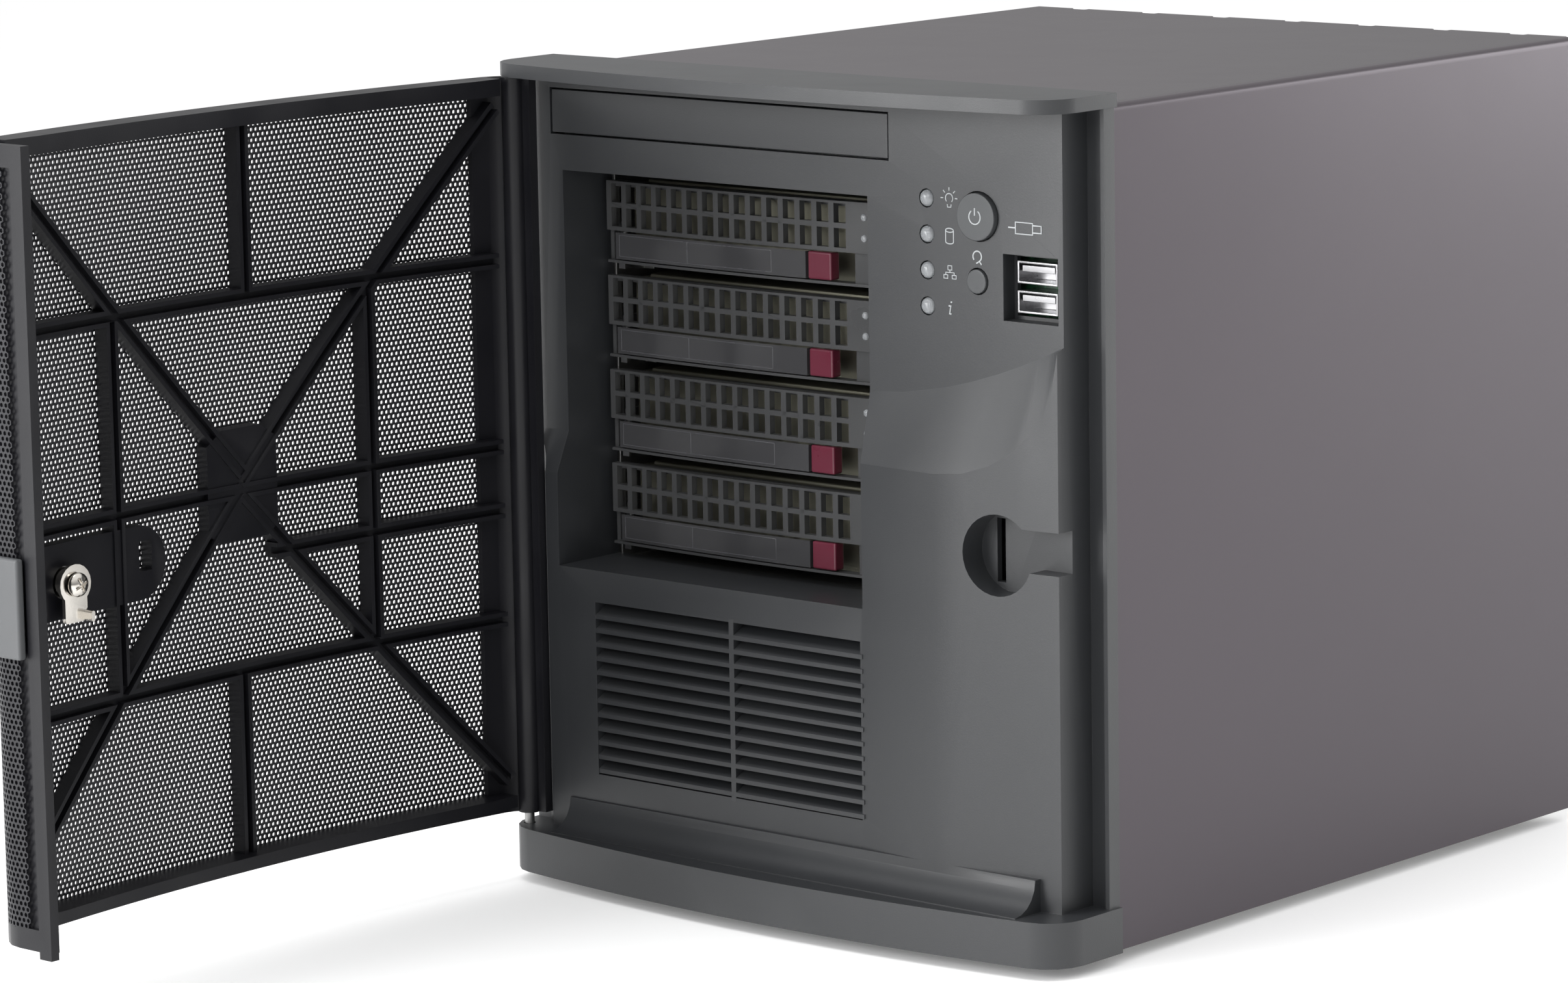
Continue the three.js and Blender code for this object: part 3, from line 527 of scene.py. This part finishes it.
def opened(x, y, z):
    """A point of the closed layout, turned with the door to where it stands at rest."""
    pivot = JOINTS["door_hinge"]["pos_m"]
    rel_x = x * MM - pivot[0]
    rel_y = (y - BODY_HALF_DEPTH) * MM - pivot[1]
    return (pivot[0] + rel_y, pivot[1] - rel_x, z * MM)


def door_mesh():
    """The perforated sheet: staggered round holes, through a sheet that follows the bow."""
    low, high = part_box("door_mesh")
    z0 = low.z / MM - 1.2
    z1 = high.z / MM + 2.4
    s0, s1 = MESH_RUN
    row_step = MESH_PITCH * math.sqrt(3) / 2
    columns = int((s1 - s0) / MESH_PITCH)
    rows = int((z1 - z0) / row_step)
    outer_r = MESH_PITCH / math.sqrt(3)
    verts = []
    faces = []
    for row in range(rows):
        z = z0 + (row + 0.5) * row_step + 0.6
        for column in range(columns):
            s = s0 + (column + 0.5 + 0.5 * (row % 2)) * MESH_PITCH
            if math.hypot(s - LOCK_GAP_S, z - LOCK_GAP_Z) < LOCK_GAP_R:
                continue
            base = len(verts)
            for radius in (outer_r, MESH_HOLE_R):
                for k in range(MESH_SIDES):
                    angle = math.tau * (k + 0.5) / MESH_SIDES
                    u = s + radius * math.cos(angle)
                    v = z + radius * math.sin(angle)
                    x, y = footprint_point(u, MESH_INSET)
                    verts.append(opened(x, y, v))
            for k in range(MESH_SIDES):
                following = (k + 1) % MESH_SIDES
                faces.append(
                    (
                        base + k,
                        base + following,
                        base + MESH_SIDES + following,
                        base + MESH_SIDES + k,
                    )
                )
    mesh = bpy.data.meshes.new("door_mesh_fine")
    mesh.from_pydata(verts, [], faces)
    mesh.update()
    piece = link("door_mesh_fine", mesh)
    piece.data.shade_flat()
    weld = piece.modifiers.new("weld", "WELD")
    weld.merge_threshold = 0.00006
    thick = piece.modifiers.new("thick", "SOLIDIFY")
    thick.thickness = 0.0006
    thick.offset = 0
    bake_modifiers(piece)
    return dress(piece, MESH_PAINT, "door", "door_mesh")


def door_lock():
    """Nickel-plated barrel, cam washer and crossed screw, on the line of the lock's turn."""
    low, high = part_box("lock_screw")
    centre = (low + high) / 2
    inward = Vector((1, 0, 0))
    screw = lathe(
        "lock_screw_fine",
        [(0, 1.3), (1.2, 1.2), (2.4, 0.8), (3.3, 0.0), (3.4, -0.5), (3.2, -1.05), (0, -1.05)],
        centre,
        inward,
    )
    for turn in (0.4, 0.4 + math.pi / 2):
        bpy.ops.mesh.primitive_cube_add(size=1, location=centre + inward * 1.2 * MM)
        slot = bpy.context.object
        slot.scale = (1.6 * MM, 4.2 * MM, 0.75 * MM)
        slot.rotation_euler = (turn, 0, 0)
        carve = screw.modifiers.new("slot", "BOOLEAN")
        carve.object = slot
        carve.operation = "DIFFERENCE"
        bake_modifiers(screw)
        bpy.data.objects.remove(slot)
    smooth_by_angle(screw)
    dress(screw, NICKEL, "door_cam", "lock_screw")
    refine("lock_cam", NICKEL, 0.25, 2, (0, 1.2, 4))
    refine("lock_cylinder", NICKEL, 0.3, 2)


def door():
    door_mesh()
    refine("door_frame", DOOR_PLASTIC, 0.35, 2)
    refine("door_grip", DOOR_EDGE, 0.8, 3)
    door_lock()
    for node in ("door_pin_top", "door_pin_bottom"):
        refine(node, ZINC, 0.2)


# ---- the front ----
def printed(name, strokes, radius=0.22):
    """Small pale symbols on the front panel, from strokes of points."""
    wires = []
    for index, (points, closed) in enumerate(strokes):
        wires.append(wire(name + str(index), points, radius, closed))
    piece = join_pieces(name, wires)
    return dress(piece, PRINT, "chassis")


def ring(centre, radius, start=0.0, end=math.tau, steps=20, squash=1.0):
    points = []
    for i in range(steps + 1):
        angle = start + (end - start) * i / steps
        x = centre.x + radius * MM * math.cos(angle)
        z = centre.z + radius * MM * math.sin(angle) * squash
        points.append((x, centre.y, z))
    return points


def shifted(centre, *offsets):
    return [(centre.x + dx * MM, centre.y, centre.z + dz * MM) for dx, dz in offsets]


def status_icons():
    """Generic lamp, disk, network and information symbols beside the four lenses."""
    spots = []
    for index in TRAYS:
        low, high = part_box(f"status_lens_{index}")
        y = low.y + 1.15 * MM
        spots.append(Vector(((low.x + high.x) / 2 + 8.2 * MM, y, (low.z + high.z) / 2)))
    lamp, disk, network, info = spots
    rays = []
    for angle in (0, 45, 90, 135, 180):
        turn = math.radians(angle)
        inner = (2.1 * math.cos(turn), 2.1 * math.sin(turn) + 0.5)
        outer = (3.0 * math.cos(turn), 3.0 * math.sin(turn) + 0.5)
        rays.append((shifted(lamp, inner, outer), False))
    bulb = ring(lamp + Vector((0, 0, 0.5 * MM)), 1.3, -math.pi / 4, math.pi * 1.25)
    base = shifted(lamp, (-0.7, -1.2), (-0.6, -2.0), (0.6, -2.0), (0.7, -1.2))
    printed("icon_lamp", [(bulb, False), (base, False), *rays], 0.16)
    top = disk + Vector((0, 0, 1.6 * MM))
    can = [
        (ring(top, 1.4, squash=0.4), True),
        (shifted(disk, (-1.4, 1.6), (-1.4, -1.6)), False),
        (shifted(disk, (1.4, 1.6), (1.4, -1.6)), False),
        (ring(disk - Vector((0, 0, 1.6 * MM)), 1.4, math.pi, math.tau, 10, 0.4), False),
    ]
    printed("icon_disk", can, 0.16)
    boxes = [
        (shifted(network, (-0.7, 0.6), (0.7, 0.6), (0.7, 1.8), (-0.7, 1.8)), True),
        (shifted(network, (-2.2, -1.8), (-0.8, -1.8), (-0.8, -0.8), (-2.2, -0.8)), True),
        (shifted(network, (0.8, -1.8), (2.2, -1.8), (2.2, -0.8), (0.8, -0.8)), True),
        (shifted(network, (-1.5, -0.8), (-1.5, -0.1), (1.5, -0.1), (1.5, -0.8)), False),
        (shifted(network, (0, -0.1), (0, 0.6)), False),
    ]
    printed("icon_network", boxes, 0.16)
    mark = [
        (shifted(info, (0.35, 1.5), (0.45, 1.9)), False),
        (shifted(info, (-0.5, 0.6), (0.2, 0.6), (-0.25, -1.6), (0.4, -1.6)), False),
    ]
    printed("icon_info", mark, 0.26)


def control_icons():
    """A generic port symbol over the data ports and a turning arrow over the reset button."""
    low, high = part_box("usb_port_upper")
    panel_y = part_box("optical_bay_cover")[0].y - 0.25 * MM
    port = Vector(((low.x + high.x) / 2, panel_y, high.z + 9.5 * MM))
    strokes = [
        (shifted(port, (-5, -1.6), (1, -1.6), (1, 1.6), (-5, 1.6)), True),
        (shifted(port, (1, -1.0), (4, -1.0), (4, 1.0), (1, 1.0)), False),
        (shifted(port, (-5, 0), (-7.5, 0)), False),
    ]
    printed("icon_port", strokes)
    low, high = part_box("reset_button")
    spot = Vector(((low.x + high.x) / 2, panel_y, high.z + 2.4 * MM))
    arc = ring(spot, 1.5, math.radians(-60), math.radians(220))
    head = shifted(spot, (-0.3, -1.9), (0.75, -1.3), (1.5, -2.2))
    printed("icon_reset", [(arc, False), (head, False)])


def power_symbol():
    low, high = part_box("power_button")
    face = Vector(((low.x + high.x) / 2, low.y - 0.05 * MM, (low.z + high.z) / 2))
    arc = ring(face, 2.0, math.radians(125), math.radians(415))
    bar = shifted(face, (0, 0.4), (0, 2.5))
    wires = [wire("power_arc", arc, 0.2), wire("power_bar", bar, 0.2)]
    symbol = join_pieces("power_symbol", wires)
    dress(symbol, PRINT, "power_key")


def status_lenses():
    for index in TRAYS:
        node = f"status_lens_{index}"
        low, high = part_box(node)
        centre = Vector(((low.x + high.x) / 2, low.y, (low.z + high.z) / 2))
        dome = [(0, 0), (0.9, -0.12), (1.7, -0.5), (2.2, -1.1), (2.4, -1.9), (2.4, -9), (0, -9)]
        lens = lathe(node + "_fine", dome, centre, (0, -1, 0), 28)
        dress(lens, LENS, "chassis", node)


def buttons():
    refine("power_button", BUTTON, 0.6, 3)
    refine("reset_button", BUTTON, 0.4, 3)
    power_symbol()


def front():
    refine("front_bezel", BEZEL, 0.5, 3, crisp=True)
    refine("optical_bay_cover", BEZEL, 0.3)
    refine("control_board", BOARD, 0.1)
    for node in ("usb_port_lower", "usb_port_upper"):
        refine(node, TINPLATE, 0.12)
    status_lenses()
    status_icons()
    control_icons()
    buttons()


# ---- the trays ----
def lever_outline(index):
    """The pale line round the lever's glossy bar, and the joint a third of the way along."""
    low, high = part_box(f"tray_lever_{index}")
    grille_low, grille_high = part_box(f"tray_grille_{index}")
    middle = (grille_low.x + grille_high.x) / 2
    half = (grille_high.x - grille_low.x) / 2
    left = low.x + 2.2 * MM
    right = low.x + (high.x - low.x) * 0.83
    top = high.z - 0.9 * MM
    bottom = low.z + 0.9 * MM

    def on_bar(x, z):
        bow = TRAY_BOW * MM * ((x - middle) / half) ** 2
        return (x, grille_low.y + bow + 0.02 * MM, z)

    steps = [left + (right - left) * i / 12 for i in range(13)]
    loop = [on_bar(x, top) for x in steps] + [on_bar(x, bottom) for x in reversed(steps)]
    divider = left + (right - left) * 0.46
    strokes = [
        wire("line", loop, 0.11, True),
        wire("joint", [on_bar(divider, bottom), on_bar(divider, top)], 0.11),
    ]
    outline = join_pieces(f"lever_outline_{index}", strokes)
    dress(outline, LEVER_LINE, f"lever_{index}")


def tray_lamps(index):
    """Two small lamps at the right end of the tray's front."""
    low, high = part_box(f"tray_grille_{index}")
    x = high.x - 8.4 * MM
    for step, z in enumerate((high.z - 4.2 * MM, high.z - 10.2 * MM)):
        y = low.y + 1.05 * MM
        dome = [(0, 0.35), (0.7, 0.25), (1.1, -0.1), (1.2, -0.6), (0, -0.6)]
        lamp = lathe(f"tray_lamp_{index}_{step}", dome, Vector((x, y, z)), (0, -1, 0), 20)
        dress(lamp, LENS, f"tray_{index}")


def trays():
    for index in TRAYS:
        slots = (1, 1.1, 3)
        refine(f"tray_grille_{index}", TRAY_PLASTIC, 0.22, 2, slots)
        refine(f"tray_lever_{index}", LEVER_GLOSS, 0.5, 3)
        lever_outline(index)
        tray_lamps(index)
        refine(f"tray_latch_{index}", LATCH_RED, 0.6, 3)
        refine(f"drive_carrier_{index}", CARRIER, 0.12)
        refine(f"hard_drive_{index}", DRIVE_METAL, 0.8, 3)


# ---- the body ----
def body():
    refine("outer_cover", COVER, 0.3, 2)
    for node in ("base_pan", "front_panel", "rear_panel", "drive_cage", "power_supply"):
        refine(node, ZINC, 0.2)
    for node in ("io_shield", "slot_cover"):
        refine(node, ZINC, 0.15)
    for node in ("thumbscrew_left", "thumbscrew_right"):
        refine(node, NICKEL, 0.5)
    refine("mainboard", MAIN_BOARD, 0.15)
    for node in ("backplane", "memory_module"):
        refine(node, BOARD, 0.15)
    for node in ("rear_fan_frame", "rear_fan_rotor", "power_inlet"):
        refine(node, FAN_PLASTIC, 0.4)
    refine("heatsink", SINK, 0.15)
    for index in TRAYS:
        refine(f"foot_{index}", RUBBER, 0.9, 3)


# ---- the studio ----
def stage():
    low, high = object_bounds()
    floor_z = low[2]
    bpy.ops.mesh.primitive_plane_add(size=8, location=(0, 0, floor_z))
    floor = bpy.context.object
    floor.name = "studio_floor"
    material, nodes, links, shader = node_tree("studio_floor")
    tone = noise_at(nodes, links, 3, 3)
    mix = nodes.new("ShaderNodeMix")
    mix.data_type = "RGBA"
    mix.inputs["A"].default_value = (0.93, 0.93, 0.93, 1)
    mix.inputs["B"].default_value = (0.96, 0.96, 0.96, 1)
    links.new(tone.outputs["Fac"], mix.inputs["Factor"])
    links.new(mix.outputs["Result"], shader.inputs["Base Color"])
    shader.inputs["Roughness"].default_value = 0.7
    shader.inputs["Emission Color"].default_value = (1, 1, 1, 1)
    shader.inputs["Emission Strength"].default_value = 0.14
    floor.data.materials.append(material)
    floor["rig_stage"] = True


def area_light(name, place, target, size, power, color=(1, 1, 1)):
    data = bpy.data.lights.new(name, "AREA")
    data.shape = "RECTANGLE"
    data.size, data.size_y = size
    data.energy = power
    data.color = color
    lamp = link(name, data)
    lamp.location = place
    aim = Vector(target) - Vector(place)
    lamp.rotation_euler = aim.to_track_quat("-Z", "Y").to_euler()


def lights():
    world = bpy.data.worlds.new("studio")
    bpy.context.scene.world = world
    world.use_nodes = True
    backdrop = world.node_tree.nodes["Background"]
    nodes, links = world.node_tree.nodes, world.node_tree.links
    coords = nodes.new("ShaderNodeTexCoord")
    axes = nodes.new("ShaderNodeSeparateXYZ")
    links.new(coords.outputs["Generated"], axes.inputs["Vector"])
    rising = span(nodes, links, axes.outputs["Z"], 0.34, 1.12, 0.1, 0.75)
    grey = nodes.new("ShaderNodeCombineColor")
    for channel in ("Red", "Green", "Blue"):
        links.new(rising, grey.inputs[channel])
    links.new(grey.outputs["Color"], backdrop.inputs["Color"])
    backdrop.inputs["Strength"].default_value = 0.95
    area_light("key", (0.5, -1.9, 1.0), (0, -0.1, 0.1), (0.8, 0.8), 9)
    area_light("front_left", (-0.7, -1.55, 0.45), (0.05, -0.12, 0.12), (0.9, 0.7), 20)
    area_light("top", (-0.2, -0.5, 1.4), (0, -0.1, 0.2), (0.8, 0.8), 9)
    area_light("rear_right", (0.66, 1.2, 0.42), (0.1, 0.1, 0.12), (0.6, 0.7), 7)


def camera():
    """Right-hand three-quarter view, a little above the object's middle, with a long lens."""
    data = bpy.data.cameras.new("camera")
    data.sensor_fit = "HORIZONTAL"
    data.sensor_width = 36
    data.lens = VIEW_LENS
    data.clip_end = 50
    view = link("camera", data)
    azimuth = math.radians(VIEW_AZIMUTH)
    elevation = math.radians(VIEW_ELEVATION)
    roll = math.radians(VIEW_ROLL)
    back = Vector(
        (
            math.sin(azimuth) * math.cos(elevation),
            -math.cos(azimuth) * math.cos(elevation),
            math.sin(elevation),
        )
    )
    turn = back.to_track_quat("Z", "Y").to_matrix() @ Matrix.Rotation(roll, 3, "Z")
    view.matrix_world = Matrix.Translation(Vector(VIEW_PLACE) * MM) @ turn.to_4x4()
    bpy.context.scene.camera = view


camera()
lights()
stage()
body()
front()
trays()
door()

scene_view = bpy.context.scene.view_settings
scene_view.view_transform = "Standard"
